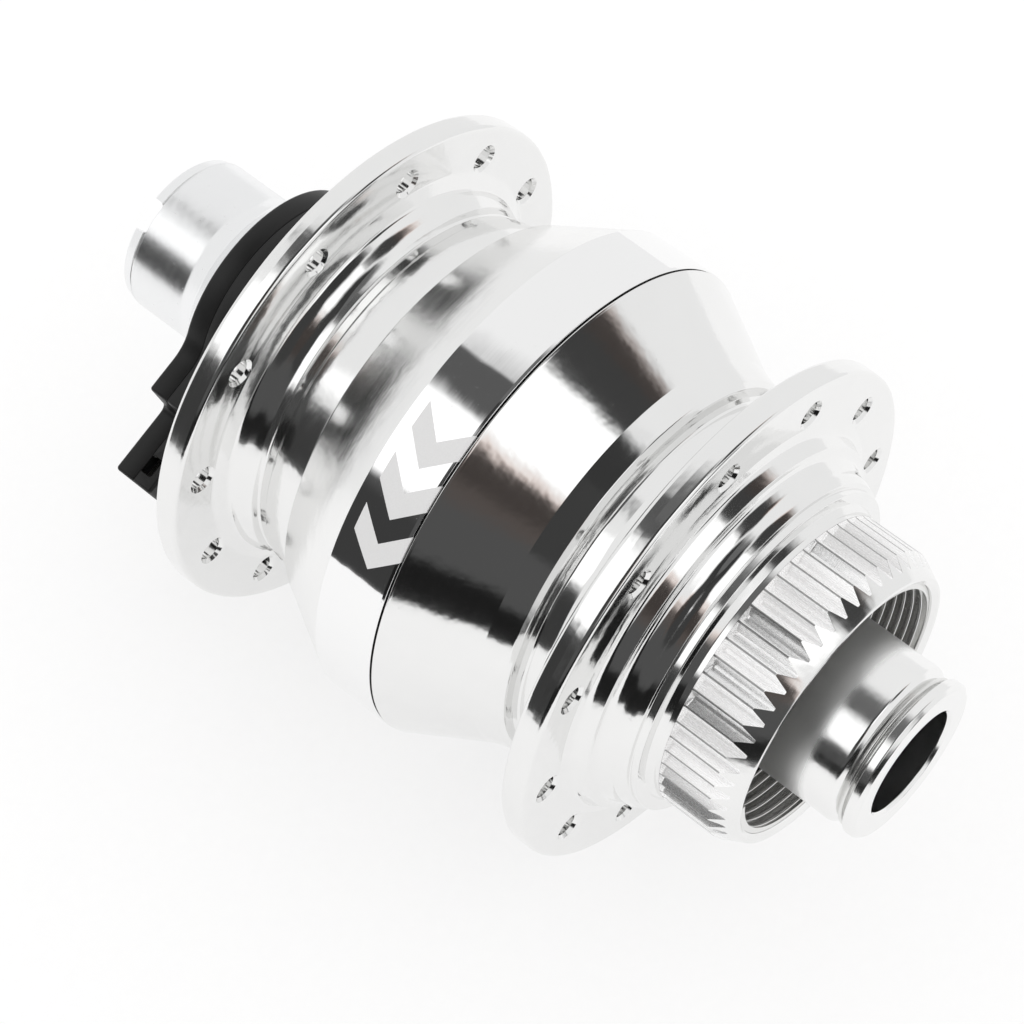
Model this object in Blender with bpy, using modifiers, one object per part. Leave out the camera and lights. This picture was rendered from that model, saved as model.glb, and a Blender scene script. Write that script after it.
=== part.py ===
"""Front hub dynamo for a 12 mm through axle, modelled in its own frame.

The origin is the hub centre on the axle line. +Y runs along the axle towards the disc-brake side,
+Z is up and +X points forward. Sizes are in millimetres and become metres through MM.
"""
import math

import bmesh
import bpy
from mathutils import Vector

MM = 0.001

# Driving dimensions (mm)
OVER_LOCKNUT = 100.0
THROUGH_AXLE = 12.0
FLANGE_DIAMETER = 58.8
FLANGE_Y = 23.3
FLANGE_THICKNESS = 2.8
SPOKES_PER_FLANGE = 12
SPOKE_CIRCLE_RADIUS = 25.6
SPOKE_HOLE_DIAMETER = 2.6
SEAM_Y = 4.35
SEAM_GAP = 0.2
LOCKRING_THREAD_DIAMETER = 30.0
SPLINE_TEETH = 55
SPLINE_TIP_RADIUS = 17.3
SPLINE_ROOT_RADIUS = 16.5
SPLINE_PHASE = math.radians(1.9)
BEARING_BORE_RADIUS = 8.5
BEARING_OUTER_RADIUS = 13.0
BEARING_WIDTH = 5.0
BALLS = 12
BALL_RADIUS = 1.2
POLE_PAIRS = 14
CLAW_RADIUS = 21.3
CAP_RADIUS = 9.2
OUTLET_ANGLE = math.radians(-22.0)

# Worked out from them
END_Y = OVER_LOCKNUT / 2
BORE_RADIUS = THROUGH_AXLE / 2 + 0.05
RIM_RADIUS = FLANGE_DIAMETER / 2
THREAD_RADIUS = LOCKRING_THREAD_DIAMETER / 2
FIT_GAP = 0.15
BEARING_SEAT_RADIUS = BEARING_OUTER_RADIUS + FIT_GAP
DISC_BEARING_Y = 30.8
PLUG_BEARING_Y = -24.9
BALL_CIRCLE_RADIUS = (BEARING_BORE_RADIUS + BEARING_OUTER_RADIUS) / 2
AXLE_RADIUS = BEARING_BORE_RADIUS - 0.2
AXLE_END_RADIUS = 7.6
AXLE_BORE_RADIUS = BORE_RADIUS + 0.25
FLUX_OUTER = 25.3
FLUX_INNER = 24.1
MAGNET_OUTER = 23.9
MAGNET_INNER = 21.9
STATOR_Y = 0.5
CLAW_SPAN = 14.0
CLAW_PLATE = 1.3
LEAD_RADIUS = 0.45
GROOVE_RADIUS = 7.0
DISC_FLANGE_Y = FLANGE_Y + 0.45
PLUG_FLANGE_Y = -FLANGE_Y + 0.15
NOTCH_ANGLE = math.radians(58.0)
NOTCH_WIDTH = 3.8

# Connector outlet (mm): how far out it reaches, its two sides, and its span along the axle
HOUSING_RADIUS = 13.0
HOUSING_HIGH_Y = -28.2
OUTLET_LOW_Y, OUTLET_HIGH_Y = -36.8, -31.8
OUTLET_REACH = 24.8
OUTLET_SIDES = (-12.0, 2.8)
SHOULDER_REACH = 16.1
SHOULDER_SIDES = (-12.6, 8.0)
TERMINAL_SIDES = (-8.1, -1.1)
TERMINAL_Y = (OUTLET_LOW_Y + OUTLET_HIGH_Y) / 2
POCKET_WIDTH, POCKET_HEIGHT = 6.0, 3.6
POCKET_DEPTH = 9.5

SHELL_STEPS = 36
FINE_STEPS = 24
COARSE_STEPS = 20

OBJECT = "hub_dynamo"


def clear_scene():
    for item in list(bpy.data.objects):
        bpy.data.objects.remove(item, do_unlink=True)


def make_collection(name):
    collection = bpy.data.collections.new(name)
    bpy.context.scene.collection.children.link(collection)
    return collection


def make_material(name, colour, roughness, metallic):
    material = bpy.data.materials.new(name)
    material.use_nodes = True
    shader = material.node_tree.nodes["Principled BSDF"]
    shader.inputs["Base Color"].default_value = (*colour, 1.0)
    shader.inputs["Roughness"].default_value = roughness
    shader.inputs["Metallic"].default_value = metallic
    material.diffuse_color = (*colour, 1.0)
    return material


FINISHES = {
    "polished_alloy": ((0.86, 0.86, 0.85), 0.12, 1.0),
    "anodised_alloy": ((0.74, 0.75, 0.76), 0.22, 1.0),
    "bearing_steel": ((0.62, 0.63, 0.64), 0.18, 1.0),
    "plain_steel": ((0.45, 0.45, 0.46), 0.35, 1.0),
    "lamination": ((0.24, 0.25, 0.27), 0.45, 0.9),
    "magnet": ((0.10, 0.10, 0.11), 0.40, 0.6),
    "copper": ((0.72, 0.36, 0.18), 0.30, 1.0),
    "tin": ((0.78, 0.77, 0.72), 0.25, 1.0),
    "black_plastic": ((0.012, 0.012, 0.013), 0.42, 0.0),
    "pale_plastic": ((0.70, 0.66, 0.55), 0.50, 0.0),
    "black_rubber": ((0.015, 0.015, 0.015), 0.65, 0.0),
    "lead_red": ((0.45, 0.03, 0.02), 0.50, 0.0),
    "lead_black": ((0.02, 0.02, 0.02), 0.50, 0.0),
}


def finish(obj, finish_name):
    """Give an object its own material, from the table of finishes."""
    colour, roughness, metallic = FINISHES[finish_name]
    obj.data.materials.append(make_material(obj.name, colour, roughness, metallic))


def add_mesh(name, mesh, collection):
    obj = bpy.data.objects.new(name, mesh)
    collection.objects.link(obj)
    return obj


def turned(name, profile, steps, collection):
    """Turn a closed profile of (axial, radius) points in mm about the axle.

    The points run down the outer side, from the disc end to the plug end, and back up the inside.
    """
    mesh = bpy.data.meshes.new(name)
    points = [Vector((radius * MM, 0.0, axial * MM)) for axial, radius in profile]
    edges = [(i, (i + 1) % len(points)) for i in range(len(points))]
    mesh.from_pydata(points, edges, [])
    obj = add_mesh(name, mesh, collection)
    obj.rotation_euler.x = -math.pi / 2
    screw = obj.modifiers.new("turn", "SCREW")
    screw.axis = "Z"
    screw.angle = math.tau
    screw.steps = steps
    screw.render_steps = steps
    screw.use_merge_vertices = True
    screw.merge_threshold = 0.00001
    screw.use_smooth_shade = True
    return obj


def ring(name, low, high, inner, outer, steps, collection):
    """A plain ring between two axial places and two radii."""
    profile = [(high, outer), (low, outer), (low, inner), (high, inner)]
    return turned(name, profile, steps, collection)


def arc(centre, radius, start, stop, count):
    """Points on a profile arc: degrees, 0 towards the disc side and 90 outwards."""
    points = []
    for i in range(count + 1):
        angle = math.radians(start + (stop - start) * i / count)
        points.append((centre[0] + radius * math.cos(angle), centre[1] + radius * math.sin(angle)))
    return points


def block(name, size, collection):
    """A box centred on its own origin, sides in mm."""
    mesh = bpy.data.meshes.new(name)
    shape = bmesh.new()
    bmesh.ops.create_cube(shape, size=1.0)
    bmesh.ops.scale(shape, vec=Vector(size) * MM, verts=shape.verts)
    shape.to_mesh(mesh)
    shape.free()
    return add_mesh(name, mesh, collection)


def place_polar(obj, radius, angle, axial):
    """Put an object at a polar place round the axle, its local X pointing outwards."""
    obj.location = (radius * math.cos(angle) * MM, axial * MM, radius * math.sin(angle) * MM)
    obj.rotation_euler.y = -angle


def hide_cutter(obj):
    obj.hide_render = True
    obj.display_type = "WIRE"


def boolean(target, tool, operation):
    modifier = target.modifiers.new(tool.name, "BOOLEAN")
    modifier.object = tool
    modifier.operation = operation
    modifier.solver = "EXACT"
    hide_cutter(tool)


def joined_meshes(name, builder, count, collection):
    """One mesh holding several bodies that don't touch; builder(shape, index) adds each of them."""
    mesh = bpy.data.meshes.new(name)
    shape = bmesh.new()
    for index in range(count):
        builder(shape, index)
    bmesh.ops.recalc_face_normals(shape, faces=shape.faces)
    shape.to_mesh(mesh)
    shape.free()
    return add_mesh(name, mesh, collection)


def spoke_hole_cutter(name, flange_y, phase, collection):
    """Countersunk spoke holes: a drill and two shallow cones at each place, as one turned outline."""
    half = FLANGE_THICKNESS / 2
    drill = SPOKE_HOLE_DIAMETER / 2
    sink = drill + 0.45
    outline = [(-half - 1.0, sink + 0.6), (-half + 0.45, drill), (half - 0.45, drill), (half + 1.0, sink + 0.6)]
    sides = 8

    def one_hole(shape, index):
        angle = phase + math.tau * index / SPOKES_PER_FLANGE
        rows = []
        for axial, radius in outline:
            row = []
            for k in range(sides):
                turn = math.tau * k / sides
                out = SPOKE_CIRCLE_RADIUS + radius * math.cos(turn)
                side = radius * math.sin(turn)
                x = out * math.cos(angle) - side * math.sin(angle)
                z = out * math.sin(angle) + side * math.cos(angle)
                row.append(shape.verts.new((x * MM, (flange_y + axial) * MM, z * MM)))
            rows.append(row)
        for low, high in zip(rows, rows[1:]):
            for k in range(sides):
                shape.faces.new((low[k], low[(k + 1) % sides], high[(k + 1) % sides], high[k]))
        shape.faces.new(rows[0])
        shape.faces.new(rows[-1])

    cutter = joined_meshes(name, one_hole, SPOKES_PER_FLANGE, collection)
    hide_cutter(cutter)
    return cutter


def flange_rim(flange_y):
    """The rounded rim of a spoke flange, from its disc-side face to its plug-side face."""
    half = FLANGE_THICKNESS / 2
    return arc((flange_y, RIM_RADIUS - half), half, 0, 180, 6)


def spline_teeth(collection):
    """The disc spline's teeth, each a wedge whose outer end is pointed like a ridge roof."""
    root_y, shoulder_y, tip_y = 32.6, 38.5, 40.1
    sunk = SPLINE_ROOT_RADIUS - 0.5
    half_root = 0.36 * math.tau / SPLINE_TEETH
    half_tip = 0.17 * math.tau / SPLINE_TEETH

    def one_tooth(shape, index):
        centre = SPLINE_PHASE + math.tau * index / SPLINE_TEETH

        def corner(radius, offset, axial):
            angle = centre + offset
            return shape.verts.new((radius * math.cos(angle) * MM, axial * MM, radius * math.sin(angle) * MM))

        ends = []
        for axial in (root_y, shoulder_y):
            ends.append([corner(sunk, -half_root, axial), corner(SPLINE_TIP_RADIUS, -half_tip, axial),
                         corner(SPLINE_TIP_RADIUS, half_tip, axial), corner(sunk, half_root, axial)])
        point = [corner(sunk, 0.0, tip_y), corner(SPLINE_TIP_RADIUS - 0.7, 0.0, tip_y)]
        back, front = ends
        shape.faces.new(back)
        for k in range(4):
            shape.faces.new((back[k], back[(k + 1) % 4], front[(k + 1) % 4], front[k]))
        shape.faces.new((front[0], front[1], point[1], point[0]))
        shape.faces.new((front[1], front[2], point[1]))
        shape.faces.new((front[2], front[3], point[0], point[1]))
        shape.faces.new((front[3], front[0], point[0]))

    return joined_meshes("spline_teeth_tool", one_tooth, SPLINE_TEETH, collection)


def disc_side_shell(parts, tools):
    seam = SEAM_Y + SEAM_GAP / 2
    seat_low = DISC_BEARING_Y - BEARING_WIDTH / 2 - FIT_GAP
    seat_high = DISC_BEARING_Y + BEARING_WIDTH / 2 + FIT_GAP
    outer = [(41.2, 15.6), (40.3, SPLINE_ROOT_RADIUS), (32.4, SPLINE_ROOT_RADIUS), (32.1, 17.4), (31.0, 17.4)]
    outer += [(31.0, 18.9), (30.7, 19.2), (30.2, 19.2), (29.4, 19.9), (28.4, 20.1), (28.0, 20.5), (27.1, 21.0)]
    outer += [(26.9, 21.7), (25.7, 22.8), (DISC_FLANGE_Y + FLANGE_THICKNESS / 2, 24.6)]
    outer += flange_rim(DISC_FLANGE_Y)
    outer += [(DISC_FLANGE_Y - FLANGE_THICKNESS / 2, 24.6), (21.4, 22.3), (20.0, 21.3), (18.0, 20.9)]
    outer += [(16.5, 21.2), (16.1, 22.5), (13.4, 23.45), (seam + 0.3, 28.25), (seam, 28.45)]
    inner = [(seam, FLUX_OUTER + 0.2), (7.8, FLUX_OUTER + 0.2), (8.0, 23.4), (13.5, 20.6), (15.5, 19.2)]
    inner += [(21.0, 18.9), (23.5, 17.4), (26.2, 13.0), (27.2, 11.9), (seat_low, 11.9)]
    inner += [(seat_low, BEARING_SEAT_RADIUS), (seat_high, BEARING_SEAT_RADIUS), (seat_high, 14.4)]
    inner += [(34.9, 14.4), (34.9, THREAD_RADIUS), (40.9, THREAD_RADIUS), (41.2, THREAD_RADIUS + 0.3)]
    shell = turned("disc_side_shell", outer + inner, SHELL_STEPS, parts)
    boolean(shell, spline_teeth(tools), "UNION")
    boolean(shell, spoke_hole_cutter("disc_side_holes", DISC_FLANGE_Y, 0.0, tools), "DIFFERENCE")
    finish(shell, "polished_alloy")
    return shell


def connector_side_shell(parts, tools):
    seam = SEAM_Y - SEAM_GAP / 2
    seat_low = PLUG_BEARING_Y - BEARING_WIDTH / 2 - FIT_GAP
    seat_high = PLUG_BEARING_Y + BEARING_WIDTH / 2 + FIT_GAP
    outer = [(seam, 28.45), (seam - 0.3, 28.75), (seam - 0.9, 28.75), (seam - 1.5, 28.5), (-3.0, 28.5)]
    outer += [(-11.6, 23.9), (-11.9, 22.6), (-12.4, 22.2), (-14.4, 21.9), (-14.7, 21.5), (-15.1, 21.5)]
    outer += [(-15.4, 21.8), (-17.6, 21.5), (-19.8, 22.1), (-21.1, 23.2)]
    outer += [(PLUG_FLANGE_Y + FLANGE_THICKNESS / 2, 24.6)]
    outer += flange_rim(PLUG_FLANGE_Y)
    nose = seat_low - 0.25
    outer += [(PLUG_FLANGE_Y - FLANGE_THICKNESS / 2, 21.4), (-25.4, 18.4), (-26.6, 17.0), (nose, 16.6)]
    inner = [(nose, BEARING_SEAT_RADIUS + 0.2), (seat_low, BEARING_SEAT_RADIUS), (seat_high, BEARING_SEAT_RADIUS)]
    inner += [(seat_high, 11.9), (-21.2, 11.9), (-20.0, 13.2), (-18.4, 17.4), (-16.6, 19.2), (-12.8, 19.8)]
    inner += [(-10.8, 21.2), (-7.0, 23.2), (-6.8, FLUX_OUTER + 0.2), (seam, FLUX_OUTER + 0.2)]
    shell = turned("connector_side_shell", outer + inner, SHELL_STEPS, parts)
    half_pitch = math.pi / SPOKES_PER_FLANGE
    boolean(shell, spoke_hole_cutter("plug_side_holes", PLUG_FLANGE_Y, half_pitch, tools), "DIFFERENCE")
    finish(shell, "polished_alloy")
    return shell


def seam_seal(parts):
    seal = ring("seam_seal", SEAM_Y - SEAM_GAP / 4, SEAM_Y + SEAM_GAP / 4, 25.9, 28.25, SHELL_STEPS, parts)
    finish(seal, "black_rubber")
    return seal


def flux_ring(parts):
    low, high = STATOR_Y - 7.1, STATOR_Y + 7.1
    body = ring("flux_ring", low, high, FLUX_INNER, FLUX_OUTER, SHELL_STEPS, parts)
    finish(body, "plain_steel")
    return body


def magnet(index, parts):
    """One magnet: an arc of the rotor ring that covers a pair of poles."""
    name = "magnet_%02d" % (index + 1)
    half_length = CLAW_SPAN / 2 - 0.4
    profile = [(STATOR_Y + half_length, MAGNET_OUTER), (STATOR_Y - half_length, MAGNET_OUTER)]
    profile += [(STATOR_Y - half_length, MAGNET_INNER), (STATOR_Y + half_length, MAGNET_INNER)]
    pitch = math.tau / POLE_PAIRS
    sweep = pitch - 0.35 / MAGNET_INNER
    steps = 3
    mesh = bpy.data.meshes.new(name)
    shape = bmesh.new()
    rows = []
    for k in range(steps + 1):
        angle = pitch * index - sweep / 2 + sweep * k / steps
        rows.append([shape.verts.new((r * math.cos(angle) * MM, y * MM, r * math.sin(angle) * MM))
                     for y, r in profile])
    for a, b in zip(rows, rows[1:]):
        for k in range(4):
            shape.faces.new((a[k], a[(k + 1) % 4], b[(k + 1) % 4], b[k]))
    shape.faces.new(rows[0])
    shape.faces.new(rows[-1])
    bmesh.ops.recalc_face_normals(shape, faces=shape.faces)
    shape.to_mesh(mesh)
    shape.free()
    obj = add_mesh(name, mesh, parts)
    finish(obj, "magnet")
    return obj


def axle(parts, tools):
    shoulder = 40.2
    end = END_Y - 4.0
    profile = [(end, AXLE_END_RADIUS), (shoulder, AXLE_END_RADIUS), (shoulder, AXLE_RADIUS)]
    profile += [(-shoulder, AXLE_RADIUS), (-shoulder, AXLE_END_RADIUS), (-end, AXLE_END_RADIUS)]
    profile += [(-end, AXLE_BORE_RADIUS), (end, AXLE_BORE_RADIUS)]
    body = turned("axle", profile, FINE_STEPS, parts)
    length = 29.4
    depth = AXLE_RADIUS - GROOVE_RADIUS + 1.0
    groove = block("lead_groove_tool", (depth, length, 2.8), tools)
    place_polar(groove, GROOVE_RADIUS + depth / 2, OUTLET_ANGLE, -7.0 - length / 2)
    boolean(body, groove, "DIFFERENCE")
    finish(body, "plain_steel")
    return body


def disc_side_end_cap(parts):
    inside = DISC_BEARING_Y + BEARING_WIDTH / 2 + 0.3
    profile = [(END_Y, 8.6), (END_Y - 0.6, CAP_RADIUS), (48.6, CAP_RADIUS), (48.3, 8.7), (48.3, 8.2)]
    profile += [(47.3, 8.2), (47.3, 8.7), (46.8, CAP_RADIUS), (inside, CAP_RADIUS)]
    profile += [(inside, AXLE_RADIUS + 0.2), (40.5, AXLE_RADIUS + 0.2), (40.5, AXLE_END_RADIUS + 0.2)]
    profile += [(END_Y - 3.7, AXLE_END_RADIUS + 0.2), (END_Y - 3.7, BORE_RADIUS), (END_Y, BORE_RADIUS)]
    cap = turned("disc_side_end_cap", profile, FINE_STEPS, parts)
    finish(cap, "anodised_alloy")
    return cap


def disc_side_wire_ring(parts):
    """The round wire ring in the end cap's groove."""
    section = 0.25
    centre = 8.2 + 0.1 + section
    profile = arc((47.95, centre), section, 22.5, -292.5, 7)
    wire = turned("disc_side_wire_ring", profile[::-1], COARSE_STEPS, parts)
    finish(wire, "plain_steel")
    return wire


def disc_side_dust_seal(parts):
    """The thin washer that closes the bottom of the lockring cavity, pressed in the shell."""
    low = 33.75
    seal = ring("disc_side_dust_seal", low, low + 0.8, CAP_RADIUS + 0.5, 14.25, FINE_STEPS, parts)
    finish(seal, "black_rubber")
    return seal


def connector_side_end_cap(parts, tools):
    inside = PLUG_BEARING_Y - BEARING_WIDTH / 2 - 0.3
    profile = [(inside, CAP_RADIUS), (-37.1, CAP_RADIUS), (-37.1, 11.3), (-37.9, 11.3), (-39.4, 10.1)]
    profile += [(-40.8, CAP_RADIUS)]
    profile += [(-END_Y + 0.6, CAP_RADIUS), (-END_Y, 8.7), (-END_Y, BORE_RADIUS)]
    profile += [(-END_Y + 3.7, BORE_RADIUS), (-END_Y + 3.7, AXLE_END_RADIUS + 0.2)]
    profile += [(-40.5, AXLE_END_RADIUS + 0.2), (-40.5, AXLE_RADIUS + 0.2), (inside, AXLE_RADIUS + 0.2)]
    cap = turned("connector_side_end_cap", profile, FINE_STEPS, parts)
    notch = block("end_notch_tool", (24.0, 4.0, NOTCH_WIDTH), tools)
    place_polar(notch, 0.0, NOTCH_ANGLE, -END_Y - 0.3)
    boolean(cap, notch, "DIFFERENCE")
    slot_length = inside - TERMINAL_Y + 1.8
    slot = block("lead_slot_tool", (4.0, slot_length, 3.2), tools)
    place_polar(slot, 9.4, OUTLET_ANGLE, inside + 0.5 - slot_length / 2)
    boolean(cap, slot, "DIFFERENCE")
    finish(cap, "anodised_alloy")
    return cap


def outlet_box(name, reach, side, axial, collection):
    """A box in the outlet's own directions: outwards, sideways and along the axle, each (low, high)."""
    box = block(name, (reach[1] - reach[0], axial[1] - axial[0], side[1] - side[0]), collection)
    place_polar(box, sum(reach) / 2, OUTLET_ANGLE, sum(axial) / 2)
    middle = sum(side) / 2
    box.location.x -= middle * math.sin(OUTLET_ANGLE) * MM
    box.location.z += middle * math.cos(OUTLET_ANGLE) * MM
    return box


def connector_housing(parts, tools):
    edge = 0.3
    profile = [(HOUSING_HIGH_Y, HOUSING_RADIUS), (OUTLET_LOW_Y + edge, HOUSING_RADIUS)]
    profile += [(OUTLET_LOW_Y, HOUSING_RADIUS - edge), (OUTLET_LOW_Y, CAP_RADIUS + 0.2)]
    profile += [(HOUSING_HIGH_Y, CAP_RADIUS + 0.2)]
    housing = turned("connector_housing", profile, FINE_STEPS, parts)
    shoulder = outlet_box("outlet_shoulder_tool", (CAP_RADIUS + 1.0, SHOULDER_REACH), SHOULDER_SIDES,
                          (OUTLET_LOW_Y + 0.02, OUTLET_HIGH_Y - 0.02), tools)
    boolean(housing, shoulder, "UNION")
    outlet = outlet_box("outlet_tool", (CAP_RADIUS + 1.2, OUTLET_REACH), OUTLET_SIDES,
                        (OUTLET_LOW_Y, OUTLET_HIGH_Y), tools)
    boolean(housing, outlet, "UNION")
    bore = ring("housing_bore_tool", OUTLET_LOW_Y - 1.0, HOUSING_HIGH_Y + 1.0, 0.0, CAP_RADIUS + 0.2,
                FINE_STEPS, tools)
    boolean(housing, bore, "DIFFERENCE")
    across = (TERMINAL_Y - POCKET_HEIGHT / 2, TERMINAL_Y + POCKET_HEIGHT / 2)
    for number, side in enumerate(TERMINAL_SIDES):
        pocket = outlet_box("pocket_tool_%d" % number, (OUTLET_REACH - POCKET_DEPTH, OUTLET_REACH + 1.0),
                            (side - POCKET_WIDTH / 2, side + POCKET_WIDTH / 2), across, tools)
        boolean(housing, pocket, "DIFFERENCE")
    window = outlet_box("outlet_window_tool", (21.2, 23.4), (OUTLET_SIDES[1] - 2.0, OUTLET_SIDES[1] + 1.0),
                        (TERMINAL_Y, TERMINAL_Y + 1.5), tools)
    boolean(housing, window, "DIFFERENCE")
    duct = outlet_box("lead_duct_tool", (CAP_RADIUS - 1.2, OUTLET_REACH - POCKET_DEPTH + 0.5), (-6.9, 1.7),
                      (TERMINAL_Y - 0.8, TERMINAL_Y + 0.8), tools)
    boolean(housing, duct, "DIFFERENCE")
    finish(housing, "black_plastic")
    return housing


def terminal(name, side, parts, tools):
    """A flat tab that stands in its pocket of the outlet."""
    tab = outlet_box(name, (OUTLET_REACH - POCKET_DEPTH + 0.3, OUTLET_REACH - 0.8),
                     (side - 1.4, side + 1.4), (TERMINAL_Y - 0.3, TERMINAL_Y + 0.3), parts)
    hole = outlet_box(name + "_hole_tool", (OUTLET_REACH - 3.9, OUTLET_REACH - 2.7),
                      (side - 0.6, side + 0.6), (TERMINAL_Y - 2.0, TERMINAL_Y + 2.0), tools)
    boolean(tab, hole, "DIFFERENCE")
    finish(tab, "tin")
    return tab


def lead(name, groove_side, pocket_side, finish_name, parts):
    """A coil lead: out of the claw plate, along the axle groove and out to its terminal."""
    plate_face = STATOR_Y - CLAW_SPAN / 2
    groove_bottom = GROOVE_RADIUS + LEAD_RADIUS + 0.2
    route = [(11.5, groove_side * 2.0, plate_face + 0.7), (11.5, groove_side * 2.0, plate_face - 0.9)]
    route += [(10.0, groove_side * 1.4, plate_face - 2.6), (groove_bottom + 0.5, groove_side, plate_face - 3.6)]
    route += [(groove_bottom, groove_side, plate_face - 5.0), (groove_bottom, groove_side, TERMINAL_Y + 1.6)]
    route += [(groove_bottom + 0.5, groove_side, TERMINAL_Y + 0.4), (9.6, groove_side * 1.0, TERMINAL_Y)]
    route += [(11.5, (groove_side + pocket_side) / 2, TERMINAL_Y)]
    route += [(OUTLET_REACH - POCKET_DEPTH - 0.1, pocket_side, TERMINAL_Y)]
    curve = bpy.data.curves.new(name, "CURVE")
    curve.dimensions = "3D"
    curve.bevel_depth = LEAD_RADIUS * MM
    curve.bevel_resolution = 1
    curve.use_fill_caps = True
    curve.resolution_u = 1
    curve.render_resolution_u = 0
    spline = curve.splines.new("POLY")
    spline.points.add(len(route) - 1)
    for point, (out, side, axial) in zip(spline.points, route):
        x = out * math.cos(OUTLET_ANGLE) - side * math.sin(OUTLET_ANGLE)
        z = out * math.sin(OUTLET_ANGLE) + side * math.cos(OUTLET_ANGLE)
        point.co = (x * MM, axial * MM, z * MM, 1.0)
    obj = bpy.data.objects.new(name, curve)
    parts.objects.link(obj)
    finish(obj, finish_name)
    return obj


def bearing(side, centre_y, parts, joint_empty):
    """A deep-groove ball bearing: two rings, two shields and a set of balls in their cage."""
    half = BEARING_WIDTH / 2
    groove = BALL_RADIUS + 0.3
    inner_land, outer_land = 9.8, 11.7
    inner_groove = [(centre_y + groove * 0.8, inner_land), (centre_y, BALL_CIRCLE_RADIUS - groove),
                    (centre_y - groove * 0.8, inner_land)]
    inner = turned(side + "_bearing_inner_ring",
                   [(centre_y + half, inner_land)] + inner_groove + [(centre_y - half, inner_land)]
                   + [(centre_y - half, BEARING_BORE_RADIUS), (centre_y + half, BEARING_BORE_RADIUS)],
                   COARSE_STEPS, parts)
    finish(inner, "bearing_steel")
    outer = turned(side + "_bearing_outer_ring",
                   [(centre_y + half, BEARING_OUTER_RADIUS), (centre_y - half, BEARING_OUTER_RADIUS)]
                   + [(centre_y - half, outer_land), (centre_y - groove * 0.8, outer_land)]
                   + [(centre_y, BALL_CIRCLE_RADIUS + groove), (centre_y + groove * 0.8, outer_land)]
                   + [(centre_y + half, outer_land)], COARSE_STEPS, parts)
    finish(outer, "bearing_steel")
    for where, y in (("inboard", centre_y - math.copysign(2.2, centre_y)),
                     ("outboard", centre_y + math.copysign(2.2, centre_y))):
        shield = ring("%s_%s_shield" % (side, where), y - 0.2, y + 0.2, inner_land + 0.3, outer_land - 0.1,
                      COARSE_STEPS, parts)
        finish(shield, "black_rubber")
    cage = ring(side + "_ball_cage", -0.7, 0.7, BALL_CIRCLE_RADIUS - 0.35, BALL_CIRCLE_RADIUS + 0.35,
                BALLS * 2, parts)
    cage.parent = joint_empty
    balls = ball_tool(side, joint_empty.users_collection[0])
    balls.parent = joint_empty
    boolean(cage, balls, "UNION")
    finish(cage, "bearing_steel")


def ball_tool(side, tools):
    def one_ball(shape, index):
        angle = math.tau * index / BALLS
        made = bmesh.ops.create_uvsphere(shape, u_segments=6, v_segments=4, radius=BALL_RADIUS * MM)
        place = Vector((math.cos(angle), 0.0, math.sin(angle))) * BALL_CIRCLE_RADIUS * MM
        bmesh.ops.translate(shape, vec=place, verts=made["verts"])

    return joined_meshes(side + "_balls_tool", one_ball, BALLS, tools)


def bearing_empty(side, centre_y, tools):
    """The empty on a ball set's own joint axis."""
    empty = bpy.data.objects.new(side + "_ball_set_axis", None)
    empty.location.y = centre_y * MM
    tools.objects.link(empty)
    return empty


def claw_plate(name, facing, phase, parts, tools):
    """A claw-pole plate: a disc on the core with claws that reach across the coil."""
    plate_face = STATOR_Y - facing * CLAW_SPAN / 2
    inside_face = plate_face + facing * CLAW_PLATE
    low, high = sorted((plate_face, inside_face))
    claw_inner = CLAW_RADIUS - 1.2
    disc_radius = claw_inner - 0.4
    plate = ring(name, low, high, AXLE_RADIUS + 0.2, disc_radius, POLE_PAIRS * 2, parts)
    root_half = 0.23 * math.tau / POLE_PAIRS
    tip_half = 0.16 * math.tau / POLE_PAIRS
    sections = [(plate_face + facing * 0.05, root_half, disc_radius - 0.5),
                (inside_face - facing * 0.05, root_half, disc_radius - 0.5),
                (inside_face + facing * 0.3, root_half, claw_inner),
                (plate_face + facing * (CLAW_SPAN - 0.6), tip_half, claw_inner)]

    def one_claw(shape, index):
        centre = phase + math.tau * index / POLE_PAIRS
        rows = []
        for axial, half, inner in sections:
            row = []
            for radius, offset in ((inner, -half), (CLAW_RADIUS, -half), (CLAW_RADIUS, half), (inner, half)):
                angle = centre + offset
                row.append(shape.verts.new((radius * math.cos(angle) * MM, axial * MM,
                                            radius * math.sin(angle) * MM)))
            rows.append(row)
        for a, b in zip(rows, rows[1:]):
            for k in range(4):
                shape.faces.new((a[k], a[(k + 1) % 4], b[(k + 1) % 4], b[k]))
        shape.faces.new(rows[0])
        shape.faces.new(rows[-1])

    boolean(plate, joined_meshes(name + "_claws_tool", one_claw, POLE_PAIRS, tools), "UNION")
    finish(plate, "lamination")
    return plate


def drill_lead_holes(plate, tools):
    """Two holes in the connector-side claw plate for the coil's leads."""
    face = STATOR_Y - CLAW_SPAN / 2
    for number, side in enumerate((-1.5, 1.5)):
        hole = outlet_box("lead_hole_tool_%d" % number, (10.7, 12.3), (side - 0.8, side + 0.8),
                          (face - 1.0, face + CLAW_PLATE + 1.0), tools)
        boolean(plate, hole, "DIFFERENCE")


def stator_core(parts):
    half = CLAW_SPAN / 2 - CLAW_PLATE - 0.2
    core = ring("stator_core", STATOR_Y - half, STATOR_Y + half, AXLE_RADIUS + 0.2, 10.2, COARSE_STEPS, parts)
    finish(core, "lamination")
    return core


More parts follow.
